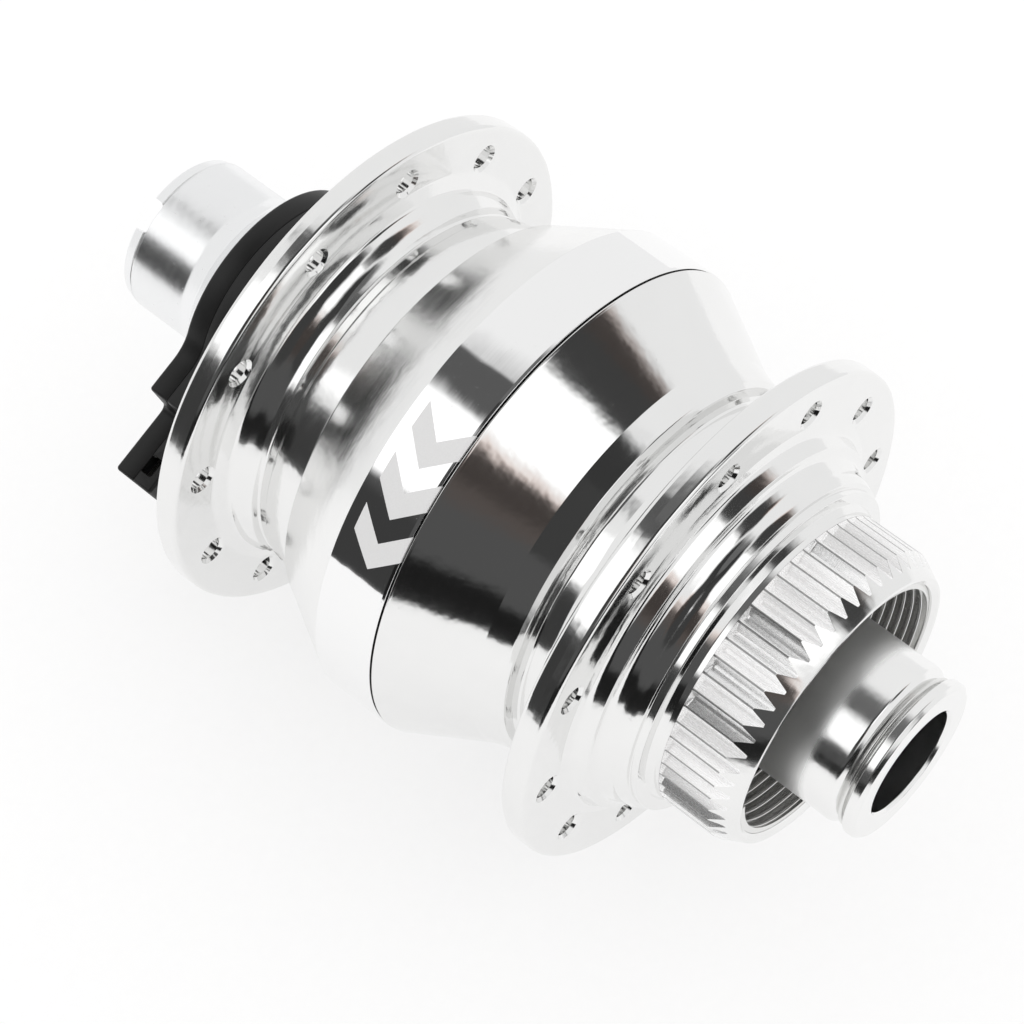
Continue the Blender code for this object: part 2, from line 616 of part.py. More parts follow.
def bobbin(parts):
    half = CLAW_SPAN / 2 - CLAW_PLATE - 0.9
    inner, flange, wall = 10.4, 19.6, 0.7
    profile = [(STATOR_Y + half, flange), (STATOR_Y + half - wall, flange), (STATOR_Y + half - wall, inner + wall)]
    profile += [(STATOR_Y - half + wall, inner + wall), (STATOR_Y - half + wall, flange)]
    profile += [(STATOR_Y - half, flange), (STATOR_Y - half, inner), (STATOR_Y + half, inner)]
    spool = turned("coil_bobbin", profile, COARSE_STEPS, parts)
    finish(spool, "pale_plastic")
    return spool


def winding(parts):
    half = CLAW_SPAN / 2 - CLAW_PLATE - 0.9 - 0.7 - 0.2
    inner, outer = 11.3, 18.7
    rows = 5
    pitch = 2 * half / rows
    profile = []
    for row in range(rows):
        top = STATOR_Y + half - row * pitch
        profile += [(top - pitch * 0.05, outer - 0.25), (top - pitch * 0.5, outer), (top - pitch * 0.95, outer - 0.25)]
    profile += [(STATOR_Y - half, inner), (STATOR_Y + half, inner)]
    coil = turned("coil_winding", profile, COARSE_STEPS, parts)
    finish(coil, "copper")
    return coil


def stator_circlip(parts, tools):
    """The retaining ring against the connector-side claw plate, open where the leads pass."""
    high = STATOR_Y - CLAW_SPAN / 2 - 0.2
    clip = ring("stator_circlip", high - 0.9, high, AXLE_RADIUS + 0.15, 9.8, COARSE_STEPS, parts)
    gap = outlet_box("circlip_gap_tool", (6.0, 12.0), (-2.6, 2.6), (high - 2.0, high + 1.0), tools)
    boolean(clip, gap, "DIFFERENCE")
    finish(clip, "plain_steel")
    return clip


def stator_nut(parts, tools):
    """The hexagon nut that clamps the stator against the circlip."""
    low = STATOR_Y + CLAW_SPAN / 2 + 0.2
    thickness, across_flats = 3.0, 22.0
    mesh = bpy.data.meshes.new("stator_nut")
    shape = bmesh.new()
    bmesh.ops.create_cone(shape, cap_ends=True, segments=6, radius1=across_flats / math.sqrt(3) * MM,
                          radius2=across_flats / math.sqrt(3) * MM, depth=thickness * MM)
    shape.to_mesh(mesh)
    shape.free()
    nut = add_mesh("stator_nut", mesh, parts)
    nut.rotation_euler.x = -math.pi / 2
    nut.location.y = (low + thickness / 2) * MM
    chamfer = nut.modifiers.new("chamfer", "BEVEL")
    chamfer.width = 0.4 * MM
    chamfer.segments = 1
    bore = turned("nut_bore_tool", [(low + 5, AXLE_RADIUS + 0.15), (low - 2, AXLE_RADIUS + 0.15),
                                    (low - 2, 0.0), (low + 5, 0.0)], COARSE_STEPS, tools)
    boolean(nut, bore, "DIFFERENCE")
    finish(nut, "plain_steel")
    return nut


def spacer(name, low, high, parts):
    sleeve = ring(name, low, high, AXLE_RADIUS + 0.15, 9.7, COARSE_STEPS, parts)
    finish(sleeve, "anodised_alloy")
    return sleeve


def main():
    clear_scene()
    parts = make_collection(OBJECT)
    tools = make_collection("cutters")
    disc_side_shell(parts, tools)
    connector_side_shell(parts, tools)
    seam_seal(parts)
    flux_ring(parts)
    for index in range(POLE_PAIRS):
        magnet(index, parts)
    axle(parts, tools)
    disc_side_end_cap(parts)
    disc_side_wire_ring(parts)
    disc_side_dust_seal(parts)
    connector_side_end_cap(parts, tools)
    connector_housing(parts, tools)
    terminal("terminal_a", TERMINAL_SIDES[0], parts, tools)
    terminal("terminal_b", TERMINAL_SIDES[1], parts, tools)
    lead("lead_a", -0.75, -5.9, "lead_red", parts)
    lead("lead_b", 0.75, -1.0, "lead_black", parts)
    bearing("disc_side", DISC_BEARING_Y, parts, bearing_empty("disc_side", DISC_BEARING_Y, tools))
    bearing("connector_side", PLUG_BEARING_Y, parts, bearing_empty("connector_side", PLUG_BEARING_Y, tools))
    plug_plate = claw_plate("claw_plate_connector_side", 1, 0.0, parts, tools)
    drill_lead_holes(plug_plate, tools)
    claw_plate("claw_plate_disc_side", -1, math.pi / POLE_PAIRS, parts, tools)
    stator_core(parts)
    bobbin(parts)
    winding(parts)
    stator_circlip(parts, tools)
    stator_nut(parts, tools)
    spacer("spacer_connector_side", PLUG_BEARING_Y + BEARING_WIDTH / 2 + 0.2, -12.4, parts)
    spacer("spacer_disc_side", STATOR_Y + CLAW_SPAN / 2 + 3.4, DISC_BEARING_Y - BEARING_WIDTH / 2 - 0.2, parts)


main()
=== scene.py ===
"""Looks for the front hub dynamo: finely turned metal skins, moulded plastic, studio and camera.

The row frame is the CAD's: the axle lies along Y, the disc-brake side is +Y and the origin is the hub
centre. Outlines are (axial, radius) points in millimetres, an optional third number being a fillet.
"""

import math

import bmesh
import bpy
from mathutils import Matrix, Vector


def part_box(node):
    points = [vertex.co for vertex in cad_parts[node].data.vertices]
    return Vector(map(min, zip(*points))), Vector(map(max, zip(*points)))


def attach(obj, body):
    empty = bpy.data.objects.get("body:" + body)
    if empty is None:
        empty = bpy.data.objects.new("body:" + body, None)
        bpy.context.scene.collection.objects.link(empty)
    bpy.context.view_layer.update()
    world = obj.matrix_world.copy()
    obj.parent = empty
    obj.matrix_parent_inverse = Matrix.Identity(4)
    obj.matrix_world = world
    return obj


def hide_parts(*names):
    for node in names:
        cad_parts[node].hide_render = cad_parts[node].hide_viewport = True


MM = 0.001
TURNS = 256

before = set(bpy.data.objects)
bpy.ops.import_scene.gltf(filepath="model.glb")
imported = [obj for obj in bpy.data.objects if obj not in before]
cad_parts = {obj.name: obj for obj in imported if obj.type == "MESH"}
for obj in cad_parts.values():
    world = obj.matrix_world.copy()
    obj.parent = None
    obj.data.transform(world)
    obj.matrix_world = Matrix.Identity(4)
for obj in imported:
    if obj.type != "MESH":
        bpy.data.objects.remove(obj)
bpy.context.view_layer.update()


# ---------------------------------------------------------------- places read from the frame

def span(node, axis):
    """Lowest and highest coordinate of a CAD node along one axis, in mm."""
    low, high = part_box(node)
    return low[axis] / MM, high[axis] / MM


X, Y, Z = 0, 1, 2
SEAM_HIGH, FRONT = span("disc_side_shell", Y)
NOSE, SEAM_LOW = span("connector_side_shell", Y)
RIM_RADIUS = span("disc_side_shell", Z)[1]
CAP_DISC_IN, CAP_DISC_END = span("disc_side_end_cap", Y)
CAP_PLUG_END, CAP_PLUG_IN = span("connector_side_end_cap", Y)
HOUSING_LOW, HOUSING_HIGH = span("connector_housing", Y)
SEAL_LOW, SEAL_HIGH = span("seam_seal", Y)

# ---------------------------------------------------------------- dimensions (mm)

DISC_FLANGE = FRONT - 17.45
PLUG_FLANGE = NOSE + 4.65
FLANGE_HALF = 1.4
BAND_RADIUS = 28.5
COLLAR_RADIUS = 19.2
SPLINE_TEETH = 55
SPLINE_TIP = 17.3
SPLINE_ROOT = 16.5
SPLINE_PHASE = math.radians(1.9)
SPLINE_START = FRONT - 8.8
THREAD_MAJOR = 15.0
THREAD_MINOR = 14.35
THREAD_PITCH = 1.0
THREAD_START = FRONT - 6.3
BEARING_SEAT = 13.15
AXLE_BORE = 6.05
CAP_RADIUS = 9.2
SPOKES = 12
SPOKE_CIRCLE = 25.6
SPOKE_DRILL = 1.3
SPOKE_SINK = 0.35

OUTLET_ANGLE = math.radians(-22.0)
OUTLET_HIGH = HOUSING_LOW + 5.0
HOUSING_RADIUS = 13.0
OUTLET_REACH = 24.8
OUTLET_SIDES = (-12.0, 2.8)
SHOULDER_REACH = 16.1
SHOULDER_SIDES = (-12.6, 8.0)
POCKET_SIDES = (-8.1, -1.1)
POCKET = (9.5, 6.0, 3.6)
NOTCH_ANGLE = math.radians(58.0)
NOTCH_WIDTH = 3.8


# ---------------------------------------------------------------- outline and mesh helpers

def rounded(corners, closed=True, pieces=5):
    """Replace each corner that has a fillet radius by an arc of points."""
    points = []
    count = len(corners)
    for i, corner in enumerate(corners):
        here = Vector(corner[:2])
        radius = corner[2] if len(corner) > 2 else 0.0
        at_end = not closed and i in (0, count - 1)
        if radius == 0.0 or at_end:
            points.append(here)
            continue
        back = Vector(corners[i - 1][:2]) - here
        ahead = Vector(corners[(i + 1) % count][:2]) - here
        half = back.angle(ahead) / 2
        reach = min(radius / math.tan(half), back.length * 0.49, ahead.length * 0.49)
        radius = reach * math.tan(half)
        middle = here + (back.normalized() + ahead.normalized()).normalized() * (radius / math.sin(half))
        start = here + back.normalized() * reach - middle
        turn = start.angle_signed(here + ahead.normalized() * reach - middle)
        for k in range(pieces + 1):
            angle = -turn * k / pieces
            points.append(middle + Matrix.Rotation(angle, 2) @ start)
    return points


def supported(points, closed=True, gap=0.05):
    """Add a point close to both ends of every long straight stretch, so that it shades flat."""
    result = []
    count = len(points)
    for i in range(count if closed else count - 1):
        start, end = points[i], points[(i + 1) % count]
        result.append(start)
        length = (end - start).length
        if length > 5 * gap:
            step = (end - start) * (gap / length)
            result += [start + step, end - step]
    if not closed:
        result.append(points[-1])
    return result


def new_object(name, mesh):
    obj = bpy.data.objects.new(name, mesh)
    bpy.context.scene.collection.objects.link(obj)
    return obj


def mesh_object(name, verts, faces, crease=30.0):
    """An object from vertices in mm, shaded smooth with edges sharper than crease degrees left hard."""
    mesh = bpy.data.meshes.new(name)
    mesh.from_pydata([Vector(v) * MM for v in verts], [], faces)
    obj = new_object(name, mesh)
    tidy_mesh(obj, crease)
    return obj


def tidy_mesh(obj, crease=30.0):
    shape = bmesh.new()
    shape.from_mesh(obj.data)
    bmesh.ops.remove_doubles(shape, verts=shape.verts, dist=0.0005 * MM)
    bmesh.ops.dissolve_degenerate(shape, edges=shape.edges, dist=0.0003 * MM)
    bmesh.ops.recalc_face_normals(shape, faces=shape.faces)
    shape.to_mesh(obj.data)
    shape.free()
    obj.data.shade_smooth()
    obj.data.set_sharp_from_angle(angle=math.radians(crease))


def turned(name, outline, steps=TURNS, closed=True, crease=30.0):
    """A lathe-turned piece about the axle from an outline with fillets."""
    points = supported(rounded(outline, closed), closed)
    rows = len(points)
    verts = []
    for k in range(steps):
        angle = math.tau * k / steps
        cosine, sine = math.cos(angle), math.sin(angle)
        verts += [(p.y * cosine, p.x, p.y * sine) for p in points]
    faces = []
    for k in range(steps):
        a, b = k * rows, (k + 1) % steps * rows
        for i in range(rows if closed else rows - 1):
            j = (i + 1) % rows
            faces.append((a + i, a + j, b + j, b + i))
    return mesh_object(name, verts, faces, crease)


def cut(obj, *tools):
    """Cut the tool objects out of a piece for good."""
    for tool in tools:
        modifier = obj.modifiers.new("cut", "BOOLEAN")
        modifier.operation = "DIFFERENCE"
        modifier.solver = "EXACT"
        modifier.object = tool
    depsgraph = bpy.context.evaluated_depsgraph_get()
    mesh = bpy.data.meshes.new_from_object(obj.evaluated_get(depsgraph))
    obj.modifiers.clear()
    obj.data = mesh
    mesh.name = obj.name
    for tool in tools:
        bpy.data.objects.remove(tool)
    obj.data.shade_smooth()
    obj.data.set_sharp_from_angle(angle=math.radians(30.0))


# ---------------------------------------------------------------- node helpers

class Graph:
    """Short forms for building a material's or the world's node tree."""

    def __init__(self, tree):
        self.tree = tree

    def add(self, kind, **settings):
        node = self.tree.nodes.new(kind)
        for key, value in settings.items():
            setattr(node, key, value)
        return node

    def feed(self, socket, value):
        if isinstance(value, bpy.types.NodeSocket):
            self.tree.links.new(value, socket)
        else:
            socket.default_value = value

    def math(self, operation, *values, clamp=False):
        node = self.add("ShaderNodeMath", operation=operation, use_clamp=clamp)
        for socket, value in zip(node.inputs, values):
            self.feed(socket, value)
        return node.outputs[0]

    def step(self, value, low, high, out_low=0.0, out_high=1.0):
        node = self.add("ShaderNodeMapRange", interpolation_type="SMOOTHSTEP")
        for key, item in (("Value", value), ("From Min", low), ("From Max", high),
                          ("To Min", out_low), ("To Max", out_high)):
            self.feed(node.inputs[key], item)
        return node.outputs["Result"]

    def combine(self, x, y, z):
        node = self.add("ShaderNodeCombineXYZ")
        for socket, value in zip(node.inputs, (x, y, z)):
            self.feed(socket, value)
        return node.outputs[0]

    def noise(self, vector, scale, detail=2.0, roughness=0.5, dimensions="3D"):
        node = self.add("ShaderNodeTexNoise", noise_dimensions=dimensions)
        self.feed(node.inputs["Vector"], vector)
        node.inputs["Scale"].default_value = scale
        node.inputs["Detail"].default_value = detail
        node.inputs["Roughness"].default_value = roughness
        return node.outputs["Fac"]

    def mix_colour(self, factor, first, second):
        node = self.add("ShaderNodeMix", data_type="RGBA")
        self.feed(node.inputs[0], factor)
        self.feed(node.inputs[6], first)
        self.feed(node.inputs[7], second)
        return node.outputs[2]

    def bump(self, height, distance, normal=None):
        node = self.add("ShaderNodeBump")
        self.feed(node.inputs["Height"], height)
        node.inputs["Distance"].default_value = distance
        if normal is not None:
            self.feed(node.inputs["Normal"], normal)
        return node.outputs["Normal"]

    def place_in_mm(self):
        """Place in the row frame in mm: x, axial place y and z."""
        coordinates = self.add("ShaderNodeTexCoord").outputs["Object"]
        split = self.add("ShaderNodeSeparateXYZ")
        self.feed(split.inputs[0], coordinates)
        return [self.math("MULTIPLY", out, 1 / MM) for out in split.outputs]

    def axle_coordinates(self):
        """Place in the row frame in mm, and the radius and angle (in radians) round the axle."""
        x, y, z = self.place_in_mm()
        squares = self.math("ADD", self.math("MULTIPLY", x, x), self.math("MULTIPLY", z, z))
        return x, y, z, self.math("SQRT", squares), self.math("ARCTAN2", z, x)


def new_material(name):
    material = bpy.data.materials.new(name)
    material.use_nodes = True
    graph = Graph(material.node_tree)
    shader = material.node_tree.nodes["Principled BSDF"]
    return material, graph, shader


def grey(level):
    return (level, level, level, 1.0)


# ---------------------------------------------------------------- materials

def turned_metal(name, colour, roughness, ring_depth, spread, dulled=None):
    """Lathe-finished metal: fine rings round the axle, soft unevenness, dust and handling marks.

    ring_depth is the height of the tool rings in mm; spread is how much the roughness varies; dulled is
    a stretch of the axle (from, to) over which an unpolished end gives way to the polished rest.
    """
    material, graph, shader = new_material(name)
    x, y, z, radius, angle = graph.axle_coordinates()
    place = graph.combine(x, y, z)
    rings = graph.noise(graph.combine(y, radius, 0.0), 6.0, detail=3.0, roughness=0.6, dimensions="2D")
    cloud = graph.noise(place, 0.22, detail=3.0)
    streak = graph.noise(graph.combine(y, radius, graph.math("MULTIPLY", angle, 3.0)), 2.2, detail=4.0)
    dust = graph.step(graph.noise(place, 3.1, detail=1.0), 0.735, 0.77, 0.0, 0.15)
    shader.inputs["Metallic"].default_value = 1.0
    tinted = graph.mix_colour(graph.math("MULTIPLY", cloud, 0.5), (*colour, 1.0),
                              (*[c * 0.93 for c in colour], 1.0))
    dusty = graph.mix_colour(dust, tinted, grey(0.75))
    graph.feed(shader.inputs["Base Color"], dusty)
    varied = graph.math("ADD", graph.math("MULTIPLY", streak, spread), roughness - spread / 2)
    varied = graph.math("ADD", varied, graph.math("MULTIPLY", dust, 0.5))
    if dulled:
        varied = graph.math("ADD", varied, graph.step(y, *dulled, 0.3, 0.0))
    graph.feed(shader.inputs["Roughness"], varied)
    shader.inputs["Anisotropic"].default_value = 0.5
    graph.feed(shader.inputs["Tangent"], graph.add("ShaderNodeTangent", direction_type="RADIAL",
                                                   axis="Y").outputs[0])
    waves = graph.bump(cloud, 0.05 * MM)
    graph.feed(shader.inputs["Normal"], graph.bump(rings, ring_depth * MM, waves))
    return material


def etched_band():
    """The mirror band at the seam, with a row of plain matt chevrons etched round part of it."""
    material, graph, shader = new_material("mirror_band")
    first, pitch, width, count = 29.6, 11.75, 6.1, 3    # degrees round the axle, and how many
    middle, half, lean = 1.32, 3.03, 1.9                # mm along the axle, and degrees per mm
    x, y, z, radius, angle = graph.axle_coordinates()
    place = graph.combine(x, y, z)
    aside = graph.math("ABSOLUTE", graph.math("SUBTRACT", y, middle))
    degrees = graph.math("MULTIPLY", angle, math.degrees(1.0))
    along = graph.math("SUBTRACT", degrees, graph.math("MULTIPLY", aside, lean))
    along = graph.math("SUBTRACT", along, first)
    phase = graph.math("MODULO", along, pitch)
    inside = graph.math("LESS_THAN", phase, width)
    for bound in (graph.math("GREATER_THAN", along, 0.0),
                  graph.math("LESS_THAN", along, pitch * (count - 1) + width),
                  graph.math("LESS_THAN", aside, half)):
        inside = graph.math("MULTIPLY", inside, bound)
    grain = graph.noise(place, 9.0, detail=3.0)
    rings = graph.noise(graph.combine(y, radius, 0.0), 5.0, detail=2.0, dimensions="2D")
    cloud = graph.noise(place, 0.2, detail=2.0)
    dust = graph.step(graph.noise(place, 3.4, detail=1.0), 0.74, 0.77, 0.0, 0.12)
    metallic = graph.math("SUBTRACT", 1.0, graph.math("MULTIPLY", inside, 0.85))
    graph.feed(shader.inputs["Metallic"], metallic)
    etched = graph.mix_colour(grain, grey(0.66), grey(0.76))
    bare = graph.mix_colour(dust, grey(0.92), grey(0.75))
    graph.feed(shader.inputs["Base Color"], graph.mix_colour(inside, bare, etched))
    mirror = graph.math("ADD", 0.035, graph.math("MULTIPLY", cloud, 0.03))
    dusty = graph.math("ADD", mirror, dust)
    graph.feed(shader.inputs["Roughness"], graph.math("ADD", dusty, graph.math("MULTIPLY", inside, 0.55)))
    ringed = graph.bump(rings, 0.0008 * MM, graph.bump(cloud, 0.03 * MM))
    rough = graph.math("MULTIPLY", grain, inside)
    graph.feed(shader.inputs["Normal"], graph.bump(rough, 0.004 * MM, ringed))
    return material


def milled_metal():
    """The spline: pale cut faces with chatter and scores, some barer, and a painted shade line, dark grey, on
    each crest.
    """
    material, graph, shader = new_material("milled_spline")
    x, y, z, radius, angle = graph.axle_coordinates()
    place = graph.combine(x, y, z)
    arc_place = graph.math("MULTIPLY", angle, SPLINE_TIP)
    turn = graph.math("MULTIPLY", graph.math("SUBTRACT", angle, SPLINE_PHASE), SPLINE_TEETH / math.tau)
    tooth = graph.math("FLOOR", turn)
    scores = graph.noise(graph.combine(graph.math("MULTIPLY", y, 0.25), arc_place, radius), 7.0, detail=3.0)
    across = graph.combine(graph.math("MULTIPLY", y, 9.0), graph.math("MULTIPLY", arc_place, 0.6),
                           graph.math("MULTIPLY", tooth, 7.3))
    chatter = graph.noise(across, 1.0, detail=1.0)
    cloud = graph.noise(place, 0.5, detail=2.0)
    phase = graph.math("FRACT", graph.math("ADD", turn, 0.5))
    from_crest = graph.math("ABSOLUTE", graph.math("SUBTRACT", phase, 0.5))
    # painted shade: a thin dark grey line painted along each tooth's crest, standing in for the dark edges of
    # the lands
    painted_crest_shade = graph.step(from_crest, 0.035, 0.07, 1.0, 0.0)
    bare = graph.noise(graph.combine(graph.math("MULTIPLY", tooth, 3.7), 0.5, 0.5), 1.0, detail=0.0)
    graph.feed(shader.inputs["Metallic"], graph.step(bare, 0.54, 0.6, 0.28, 0.85))
    cut_face = graph.mix_colour(cloud, grey(0.99), grey(0.93))
    # the crest line of painted shade is mixed into the base colour here
    graph.feed(shader.inputs["Base Color"], graph.mix_colour(painted_crest_shade, cut_face, grey(0.3)))
    graph.feed(shader.inputs["Roughness"], graph.math("ADD", 0.2, graph.math("MULTIPLY", scores, 0.14)))
    fine = graph.bump(scores, 0.006 * MM)
    chatter_patches = graph.math("MULTIPLY", chatter, graph.step(cloud, 0.45, 0.65))
    graph.feed(shader.inputs["Normal"], graph.bump(chatter_patches, 0.01 * MM, fine))
    return material


def moulded_plastic(name, level, roughness, tint=(1.0, 1.0, 1.0)):
    """Moulded plastic: a fine spark-eroded grain, faint flow marks and rubbed patches."""
    material, graph, shader = new_material(name)
    place = graph.combine(*graph.place_in_mm())
    grain = graph.noise(place, 7.0, detail=4.0, roughness=0.65)
    flow = graph.noise(place, 0.35, detail=3.0)
    dark = tuple(level * c for c in tint) + (1.0,)
    light = tuple(level * 1.7 * c for c in tint) + (1.0,)
    graph.feed(shader.inputs["Base Color"], graph.mix_colour(flow, dark, light))
    rubbed = graph.math("MULTIPLY", flow, 0.16)
    graph.feed(shader.inputs["Roughness"], graph.math("ADD", roughness - 0.08, rubbed))
    shader.inputs["Specular IOR Level"].default_value = 0.32
    graph.feed(shader.inputs["Normal"], graph.bump(grain, 0.012 * MM))
    return material


def rubber(name):
    """Seal rubber: dull, slightly mottled, with a faint skin texture."""
    material, graph, shader = new_material(name)
    place = graph.combine(*graph.place_in_mm())
    mottle = graph.noise(place, 1.2, detail=4.0)
    skin = graph.noise(place, 12.0, detail=2.0)
    graph.feed(shader.inputs["Base Color"], graph.mix_colour(mottle, grey(0.012), grey(0.03)))
    graph.feed(shader.inputs["Roughness"], graph.math("ADD", 0.5, graph.math("MULTIPLY", mottle, 0.25)))
    graph.feed(shader.inputs["Normal"], graph.bump(skin, 0.01 * MM))
    return material


def iron(name, level, roughness):
    """Pressed or sintered iron: granular, uneven, darker and lighter in random patches."""
    material, graph, shader = new_material(name)
    place = graph.combine(*graph.place_in_mm())
    grains = graph.noise(place, 5.0, detail=5.0, roughness=0.7)
    patches = graph.noise(place, 0.5, detail=2.0)
    shader.inputs["Metallic"].default_value = 0.9
    graph.feed(shader.inputs["Base Color"], graph.mix_colour(patches, grey(level), grey(level * 1.5)))
    uneven = graph.math("MULTIPLY", grains, 0.2)
    graph.feed(shader.inputs["Roughness"], graph.math("ADD", roughness - 0.1, uneven))
    graph.feed(shader.inputs["Normal"], graph.bump(grains, 0.02 * MM))
    return material


def enamelled_copper():
    """Wound copper wire: a fine turn-by-turn ripple under amber enamel."""
    material, graph, shader = new_material("enamelled_copper")
    wire_pitch = 0.45
    x, y, z = graph.place_in_mm()
    turns = graph.math("SINE", graph.math("MULTIPLY", y, math.tau / wire_pitch))
    cloud = graph.noise(graph.combine(x, y, z), 0.8, detail=3.0)
    shader.inputs["Metallic"].default_value = 1.0
    shader.inputs["Coat Weight"].default_value = 0.4
    amber, pale_amber = (0.72, 0.30, 0.13, 1.0), (0.80, 0.42, 0.2, 1.0)
    graph.feed(shader.inputs["Base Color"], graph.mix_colour(cloud, amber, pale_amber))
    graph.feed(shader.inputs["Roughness"], graph.math("ADD", 0.22, graph.math("MULTIPLY", cloud, 0.15)))
    graph.feed(shader.inputs["Normal"], graph.bump(turns, 0.05 * MM))
    return material


ALUMINIUM = (0.87, 0.87, 0.865)


def paint(material, *pieces):
    for piece in pieces:
        piece.data.materials.clear()
        piece.data.materials.append(material)


# ---------------------------------------------------------------- turned shells

def spoke_hole_tool(name, flange, phase):
    """Twelve drills with countersunk ends, standing across a flange."""
    outline = [(-FLANGE_HALF - 0.6, SPOKE_DRILL + SPOKE_SINK + 0.6), (-FLANGE_HALF + SPOKE_SINK, SPOKE_DRILL),
               (FLANGE_HALF - SPOKE_SINK, SPOKE_DRILL), (FLANGE_HALF + 0.6, SPOKE_DRILL + SPOKE_SINK + 0.6)]
    sides = 28
    verts, faces = [], []
    for index in range(SPOKES):
        around = phase + math.tau * index / SPOKES
        out = Vector((math.cos(around), 0.0, math.sin(around)))
        side = Vector((-math.sin(around), 0.0, math.cos(around)))
        base = len(verts)
        for axial, radius in outline:
            for k in range(sides):
                turn = math.tau * k / sides
                place = out * (SPOKE_CIRCLE + radius * math.cos(turn)) + side * radius * math.sin(turn)
                verts.append((place.x, flange + axial, place.z))
        for row in range(len(outline) - 1):
            for k in range(sides):
                a = base + row * sides
                b = a + sides
                faces.append((a + k, a + (k + 1) % sides, b + (k + 1) % sides, b + k))
        faces.append(tuple(base + k for k in range(sides)))
        faces.append(tuple(base + (len(outline) - 1) * sides + k for k in range(sides)))
    return mesh_object(name, verts, faces)


def disc_side_shell():
    """The disc-side half of the hub body up to its collar."""
    neck = SPLINE_START - 0.01
    face = DISC_FLANGE + FLANGE_HALF
    collar = [(neck, 16.9), (neck, 17.38), (31.8, 17.4, 0.15), (31.08, 17.85, 0.06),
              (31.05, COLLAR_RADIUS, 0.12), (30.2, COLLAR_RADIUS, 0.08)]
    steps = [(30.1, 19.65, 0.1), (29.25, 20.08, 1.6), (28.4, 20.15, 1.8), (27.2, 20.85, 0.8),
             (27.0, 21.4, 0.1), (26.9, 21.85, 0.08), (25.45, 22.55, 0.8), (face, 23.7)]
    waist = [(DISC_FLANGE - FLANGE_HALF, 23.7, 1.2), (21.2, 21.6, 1.2), (19.0, 20.9, 1.5), (17.2, 20.75, 0.4),
             (16.75, 21.3, 0.25), (16.6, 22.2, 0.35), (16.0, 22.65, 0.3)]
    cone = [(13.4, 23.45, 0.08), (SEAM_HIGH + 0.3, 28.25, 0.25), (SEAM_HIGH, BAND_RADIUS - 0.05, 0.08)]
    inner = [(SEAM_HIGH, 25.5), (7.8, 25.5), (8.0, 23.4), (13.5, 20.6), (15.5, 19.2), (21.0, 18.9),
             (23.5, 17.4), (26.2, 13.0), (27.2, 11.9), (28.15, 11.9), (28.15, BEARING_SEAT),
             (33.45, BEARING_SEAT), (33.45, 14.4), (THREAD_START, 14.4), (THREAD_START, 15.6), (neck, 15.6)]
    outer = collar + steps + flange_rim(DISC_FLANGE) + waist + cone
    shell = turned("disc_side_body", outer + inner)
    cut(shell, spoke_hole_tool("disc_side_drills", DISC_FLANGE, 0.0))
    paint(turned_metal("polished_cone", ALUMINIUM, 0.085, 0.0009, 0.04), shell)
    return shell


def flange_rim(flange):
    """Outline of a spoke flange between its two flat faces: a plain rim with a rounded edge each side."""
    edge = 0.5
    return [(flange + FLANGE_HALF, RIM_RADIUS - 0.03, edge), (flange, RIM_RADIUS),
            (flange - FLANGE_HALF, RIM_RADIUS - 0.03, edge)]


def connector_side_shell():
    """The connector-side half: mirror band, brushed cone, stepped neck, flange and nose."""
    band_end, cone_end = -3.0, -11.6
    band = [(SEAM_LOW, BAND_RADIUS - 0.05, 0.08), (SEAM_LOW - 0.35, BAND_RADIUS, 0.1),
            (band_end, BAND_RADIUS, 0.12)]
    steps = [(cone_end, 23.85, 0.12), (-11.95, 22.65, 0.25), (-12.4, 22.28, 0.3), (-16.3, 21.76, 0.2),
             (-16.5, 21.5, 0.15), (-17.4, 21.4, 0.1), (-17.55, 21.25, 0.08), (-17.7, 21.45, 0.1),
             (-18.8, 21.5, 2.4), (-20.0, 22.15, 2.4), (-20.9, 22.45, 0.6),
             (PLUG_FLANGE + FLANGE_HALF, 24.0, 0.7)]
    nose = [(PLUG_FLANGE - FLANGE_HALF, 21.6, 0.8), (-25.4, 18.4, 0.8), (-26.6, 17.0, 0.5), (NOSE, 16.6, 0.3)]
    inner = [(NOSE, BEARING_SEAT + 0.2, 0.1), (NOSE + 0.25, BEARING_SEAT), (-22.25, BEARING_SEAT),
             (-22.25, 11.9), (-21.2, 11.9), (-20.0, 13.2), (-18.4, 17.4), (-16.6, 19.2), (-12.8, 19.8),
             (-10.8, 21.2), (-7.0, 23.2), (-6.8, 25.5), (SEAM_LOW, 25.5)]
    shell = turned("connector_side_body", band + steps + flange_rim(PLUG_FLANGE) + nose + inner)
    cut(shell, spoke_hole_tool("connector_side_drills", PLUG_FLANGE, math.pi / SPOKES))
    shell.data.materials.clear()
    shell.data.materials.append(turned_metal("polished_neck", ALUMINIUM, 0.10, 0.0010, 0.05))
    shell.data.materials.append(turned_metal("brushed_cone", (0.90, 0.90, 0.895), 0.17, 0.0024, 0.12))
    shell.data.materials.append(etched_band())
    cone_index, band_index = 1, 2
    for face in shell.data.polygons:
        axial = face.center.y / MM
        outside = math.hypot(face.center.x, face.center.z) / MM > 22.7
        if outside and axial > band_end + 0.05:
            face.material_index = band_index
        elif outside and axial > cone_end - 0.2:
            face.material_index = cone_index
    return shell


